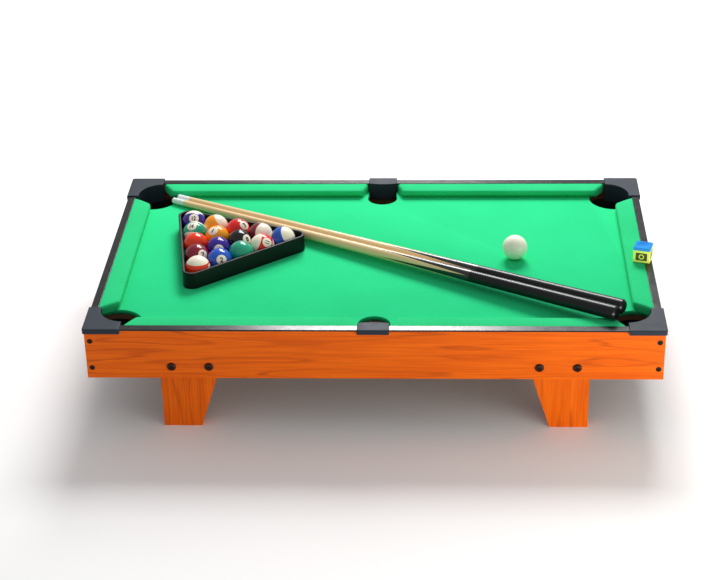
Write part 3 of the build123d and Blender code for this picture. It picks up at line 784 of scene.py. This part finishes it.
for number, (spot, pole) in FACINGS.items():
    name = f"ball_{number}"
    turn = ball_frame(spot, pole)
    striped = number > 8
    colour = BALL_COLOURS[number - 8 if striped else number]
    centre, radius = turned_ball(name, colour, turn, striped, True)
    both_sides = bmesh.new()
    for half_turn in (0, 180):
        side_turn = turn @ Matrix.Rotation(radians(half_turn), 4, "Z")
        digits = digits_mesh(number)
        for vertex in digits.verts:
            direction = Vector((radius / MM, vertex.co.x, vertex.co.y)).normalized()
            vertex.co = side_turn @ (direction * (radius / MM + DIGIT_RAISE)) + centre / MM
        part = bpy.data.meshes.new("part")
        digits.to_mesh(part)
        digits.free()
        both_sides.from_mesh(part)
        bpy.data.meshes.remove(part)
    raised = bmesh.ops.extrude_face_region(both_sides, geom=both_sides.faces[:])["geom"]
    for vertex in (g for g in raised if isinstance(g, bmesh.types.BMVert)):
        vertex.co += (vertex.co - centre / MM).normalized() * DIGIT_THICK
    bmesh.ops.recalc_face_normals(both_sides, faces=both_sides.faces)
    finish_piece(f"{name}_digits", both_sides, printed_black, name, sharp=180)

turned_ball("cue_ball", "#FBFCE6", ball_frame((0, 0), (0, 90)), False, False)

# ---- Cues -----------------------------------------------------------------------------------
# Two turned maple cues: a white moulded tip cap, a lacquered pale shaft, and a gloss black butt
# whose four points run up into the shaft.
CUES = ("front", "rear")
POINTS = 4
POINTS_START = 248.0
POINTS_END = 345.0
MAPLE_PALE = "#F4DAA8"
MAPLE_DEEP = "#DCB67C"
LACQUER_BLACK = "#0C0F12"
PORE_SIZE = (45.0, 0.9)


def cue_wood(cue, axis_start, axis_turn):
    """Lacquered maple with long fine pores, and black points spliced in from the butt."""
    material = start_material(f"lacquered_maple_{cue}")
    position = add_node(material, "ShaderNodeTexCoord", {}).node.outputs["Object"]
    local = add_node(
        material,
        "ShaderNodeMapping",
        {"Vector": position, "Location": axis_start, "Rotation": axis_turn},
        vector_type="TEXTURE",
    )
    stretched = add_node(
        material, "ShaderNodeMapping", {"Vector": local, "Scale": grain_scale("X", PORE_SIZE)}
    )
    pores = add_node(material, "ShaderNodeTexNoise", {"Vector": stretched, "Scale": 1.0, "Detail": 4.0})
    wood = add_node(
        material,
        "ShaderNodeMix",
        {"Factor": pores, "A": linear(MAPLE_DEEP), "B": linear(MAPLE_PALE)},
        data_type="RGBA",
    )
    split = add_node(material, "ShaderNodeSeparateXYZ", {"Vector": local}).node
    angle = add_node(
        material, "ShaderNodeMath", {0: split.outputs["Y"], 1: split.outputs["Z"]}, operation="ARCTAN2"
    )
    quarter = add_node(
        material, "ShaderNodeMath", {0: angle, 1: POINTS / (2 * pi)}, operation="MULTIPLY"
    )
    from_point = add_node(material, "ShaderNodeMath", {0: quarter, 1: 0.5}, operation="PINGPONG")
    wide = add_node(
        material,
        "ShaderNodeMapRange",
        {"Value": split.outputs["X"], 1: POINTS_START * MM, 2: POINTS_END * MM, 3: 0.0, 4: 0.5},
    )
    in_point = add_node(material, "ShaderNodeMath", {0: from_point, 1: wide}, operation="LESS_THAN")
    colour = add_node(
        material,
        "ShaderNodeMix",
        {"Factor": in_point, "A": wood, "B": linear(LACQUER_BLACK)},
        data_type="RGBA",
    )
    surface = add_node(
        material,
        "ShaderNodeBsdfPrincipled",
        {"Base Color": colour, "Roughness": 0.3, "IOR": 1.5, "Coat Weight": 0.4, "Coat Roughness": 0.1},
    )
    add_node(material, "ShaderNodeOutputMaterial", {"Surface": surface})
    return material


black_lacquer = start_material("gloss_black_lacquer")
lacquer_position = add_node(black_lacquer, "ShaderNodeTexCoord", {}).node.outputs["Object"]
orange_peel = add_node(
    black_lacquer, "ShaderNodeTexNoise", {"Vector": lacquer_position, "Scale": 1 / (1.5 * MM), "Detail": 1.0}
)
peel_bump = add_node(
    black_lacquer, "ShaderNodeBump", {"Height": orange_peel, "Strength": 0.15, "Distance": 0.03 * MM}
)
lacquer_surface = add_node(
    black_lacquer,
    "ShaderNodeBsdfPrincipled",
    {
        "Base Color": linear(LACQUER_BLACK),
        "Roughness": 0.28,
        "IOR": 1.5,
        "Specular IOR Level": 0.3,
        "Normal": peel_bump,
    },
)
add_node(black_lacquer, "ShaderNodeOutputMaterial", {"Surface": lacquer_surface})
white_cap = moulded_plastic("white_moulded_tip", "#E4EBEA", 0.35, 0.1)
for cue in CUES:
    tip_low, tip_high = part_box(f"{cue}_cue_tip")
    butt_low, butt_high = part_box(f"{cue}_cue_butt")
    start = Vector((tip_low.x, tip_high.y, (tip_low.z + tip_high.z) / 2))
    end = Vector((butt_high.x, butt_low.y, (butt_low.z + butt_high.z) / 2))
    axis = (end - start).normalized()
    finish_nodes([f"{cue}_cue_tip"], white_cap)
    finish_nodes([f"{cue}_cue_shaft"], cue_wood(cue, start, axis.to_track_quat("X", "Z").to_euler()))
    finish_nodes([f"{cue}_cue_butt"], black_lacquer)

# ---- Chalk ----------------------------------------------------------------------------------
# A pressed block of blue cue chalk, dished by use, in a paper wrapper pasted round its sides.
CHALK_BLUE = "#3FA2F2"
PAPER_LIME = "#E8FA6C"
pressed_chalk = start_material("pressed_blue_chalk")
chalk_position = add_node(pressed_chalk, "ShaderNodeTexCoord", {}).node.outputs["Object"]
dust = add_node(
    pressed_chalk,
    "ShaderNodeTexNoise",
    {"Vector": chalk_position, "Scale": 1 / (0.6 * MM), "Detail": 5.0},
)
chalk_colour = add_node(
    pressed_chalk,
    "ShaderNodeMix",
    {"Factor": dust, "A": linear("#2C86DA"), "B": linear(CHALK_BLUE)},
    data_type="RGBA",
)
chalk_bump = add_node(
    pressed_chalk, "ShaderNodeBump", {"Height": dust, "Strength": 0.7, "Distance": 0.15 * MM}
)
chalk_surface = add_node(
    pressed_chalk,
    "ShaderNodeBsdfPrincipled",
    {"Base Color": chalk_colour, "Roughness": 0.95, "Specular IOR Level": 0.1, "Normal": chalk_bump},
)
add_node(pressed_chalk, "ShaderNodeOutputMaterial", {"Surface": chalk_surface})
finish_nodes(["chalk"], pressed_chalk)

CHALK_SIDE = 15.5
CHALK_TURN = radians(-15.7)
LABEL_HEIGHT = 11.9
PAPER = 0.12
PAPER_CORNER = 0.45
OLIVE_PRINT = "#2C2E06"
PRINT_MIDDLE = 5.9
PANEL_HALF = (5.3, 3.9)
RING = (1.6, 2.5)
printed_paper = start_material("printed_lime_paper")
chalk_low, chalk_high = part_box("chalk")
chalk_middle = (chalk_low + chalk_high) / 2
chalk_middle.z = chalk_low.z
paper_position = add_node(printed_paper, "ShaderNodeTexCoord", {}).node.outputs["Object"]
paper_place = add_node(
    printed_paper,
    "ShaderNodeMapping",
    {
        "Vector": paper_position,
        "Location": chalk_middle,
        "Rotation": (0, 0, CHALK_TURN),
        "Scale": (MM, MM, MM),
    },
    vector_type="TEXTURE",
)
paper_axes = add_node(printed_paper, "ShaderNodeSeparateXYZ", {"Vector": paper_place}).node
sideways = [
    add_node(printed_paper, "ShaderNodeMath", {0: paper_axes.outputs[axis]}, operation="ABSOLUTE")
    for axis in "XY"
]
along_side = add_node(
    printed_paper, "ShaderNodeMath", {0: sideways[0], 1: sideways[1]}, operation="MINIMUM"
)
from_middle = add_node(
    printed_paper, "ShaderNodeMath", {0: paper_axes.outputs["Z"], 1: PRINT_MIDDLE}, operation="SUBTRACT"
)
up_down = add_node(printed_paper, "ShaderNodeMath", {0: from_middle}, operation="ABSOLUTE")
within = []
squares = []
for distance, limit in zip((along_side, up_down), PANEL_HALF):
    within.append(
        add_node(printed_paper, "ShaderNodeMath", {0: distance, 1: limit}, operation="LESS_THAN")
    )
    squares.append(
        add_node(printed_paper, "ShaderNodeMath", {0: distance, 1: distance}, operation="MULTIPLY")
    )
panel = add_node(printed_paper, "ShaderNodeMath", {0: within[0], 1: within[1]}, operation="MULTIPLY")
from_centre = add_node(printed_paper, "ShaderNodeMath", {0: squares[0], 1: squares[1]}, operation="ADD")
past_hole = add_node(
    printed_paper, "ShaderNodeMath", {0: from_centre, 1: RING[0] ** 2}, operation="GREATER_THAN"
)
before_rim = add_node(
    printed_paper, "ShaderNodeMath", {0: from_centre, 1: RING[1] ** 2}, operation="LESS_THAN"
)
ring = add_node(printed_paper, "ShaderNodeMath", {0: past_hole, 1: before_rim}, operation="MULTIPLY")
printed_shape = add_node(printed_paper, "ShaderNodeMath", {0: panel, 1: ring}, operation="SUBTRACT")
speckle = add_node(
    printed_paper, "ShaderNodeTexNoise", {"Vector": paper_place, "Scale": 3.0, "Detail": 3.0}
)
coverage = add_node(printed_paper, "ShaderNodeMapRange", {"Value": speckle, 3: 0.85, 4: 1.05})
ink = add_node(
    printed_paper, "ShaderNodeMath", {0: printed_shape, 1: coverage}, operation="MULTIPLY"
)
paper_colour = add_node(
    printed_paper,
    "ShaderNodeMix",
    {"Factor": ink, "A": linear(PAPER_LIME), "B": linear(OLIVE_PRINT)},
    data_type="RGBA",
)
paper_surface = add_node(
    printed_paper, "ShaderNodeBsdfPrincipled", {"Base Color": paper_colour, "Roughness": 0.6}
)
add_node(printed_paper, "ShaderNodeOutputMaterial", {"Surface": paper_surface})
wrapper = bmesh.new()
bmesh.ops.create_cube(wrapper, size=1.0)
outside = CHALK_SIDE + 2 * PAPER
bmesh.ops.scale(wrapper, vec=(outside, outside, LABEL_HEIGHT), verts=wrapper.verts)
upright = [e for e in wrapper.edges if abs(e.verts[0].co.z - e.verts[1].co.z) > 1]
bmesh.ops.bevel(
    wrapper,
    geom=upright,
    offset=PAPER_CORNER,
    segments=3,
    profile=0.5,
    affect="EDGES",
    material=-1,
    clamp_overlap=True,
)
open_ends = [f for f in wrapper.faces if abs(f.normal.z) > 0.9]
bmesh.ops.delete(wrapper, geom=open_ends, context="FACES")
bmesh.ops.solidify(wrapper, geom=wrapper.faces, thickness=PAPER)
wrapper_middle = chalk_middle / MM + Vector((0, 0, LABEL_HEIGHT / 2))
place = Matrix.Translation(wrapper_middle) @ Matrix.Rotation(CHALK_TURN, 4, "Z")
bmesh.ops.transform(wrapper, matrix=place, verts=wrapper.verts)
finish_piece("chalk_wrapper", wrapper, printed_paper, "chalk", sharp=30)

# ---- Floor, light and camera ----------------------------------------------------------------
# A plain white floor under an even pale sky. A large softbox stands behind at the right, a smaller
# one further back lights the rails, and a low warm strip stands at the front right.
FLOOR_HALF = 4.0
SKY_STRENGTH = 0.48
LENS = 95.0
CAMERA_AT = (0.0631, -1.5882, 0.9195)
CAMERA_YAW = 2.93
CAMERA_PITCH = 28.38
CAMERA_ROLL = -1.31
scene = bpy.context.scene
scene.view_settings.view_transform = "Standard"
floor_paint = start_material("white_floor")
floor_surface = add_node(
    floor_paint, "ShaderNodeBsdfPrincipled", {"Base Color": linear("#FAFAFA"), "Roughness": 0.9}
)
add_node(floor_paint, "ShaderNodeOutputMaterial", {"Surface": floor_surface})
ground = bmesh.new()
bmesh.ops.create_grid(ground, x_segments=1, y_segments=1, size=FLOOR_HALF)
ground_mesh = bpy.data.meshes.new("floor")
ground.to_mesh(ground_mesh)
ground.free()
ground_mesh.materials.append(floor_paint)
floor = bpy.data.objects.new("floor", ground_mesh)
scene.collection.objects.link(floor)


def soft_light(name, place, target, size, watts, colour):
    """A rectangular softbox that faces a target."""
    lamp = bpy.data.lights.new(name, "AREA")
    lamp.shape = "RECTANGLE"
    lamp.size, lamp.size_y = size
    lamp.energy = watts
    lamp.color = linear(colour)[:3]
    stand = bpy.data.objects.new(name, lamp)
    stand.location = place
    stand.rotation_euler = (Vector(target) - Vector(place)).to_track_quat("-Z", "Y").to_euler()
    stand.visible_camera = False
    scene.collection.objects.link(stand)


soft_light("key_softbox", (0.2, 1.1, 1.3), (0, 0, 0.1), (0.8, 0.5), 24, "#FFFFFF")
soft_light("rail_softbox", (-0.06, 1.5, 1.06), (0, -0.15, 0.1), (0.42, 0.3), 9, "#FFFFFF")
soft_light("low_strip_softbox", (0.55, -0.55, 0.075), (0.12, -0.1, 0.075), (0.5, 0.1), 2.8, "#FFF8EC")

studio = bpy.data.worlds.new("pale_studio")
studio.use_nodes = True
studio.node_tree.nodes["Background"].inputs["Color"].default_value = linear("#FFFFFF")
studio.node_tree.nodes["Background"].inputs["Strength"].default_value = SKY_STRENGTH
scene.world = studio

lens = bpy.data.cameras.new("camera")
lens.lens = LENS
lens.sensor_width = 36.0
lens.clip_end = 20.0
camera = bpy.data.objects.new("camera", lens)
aim = Matrix.Rotation(radians(CAMERA_YAW), 4, "Z") @ Matrix.Rotation(radians(90 - CAMERA_PITCH), 4, "X")
level = Matrix.Translation(CAMERA_AT) @ aim
camera.matrix_world = level @ Matrix.Rotation(radians(CAMERA_ROLL), 4, "Z")
scene.collection.objects.link(camera)
scene.camera = camera
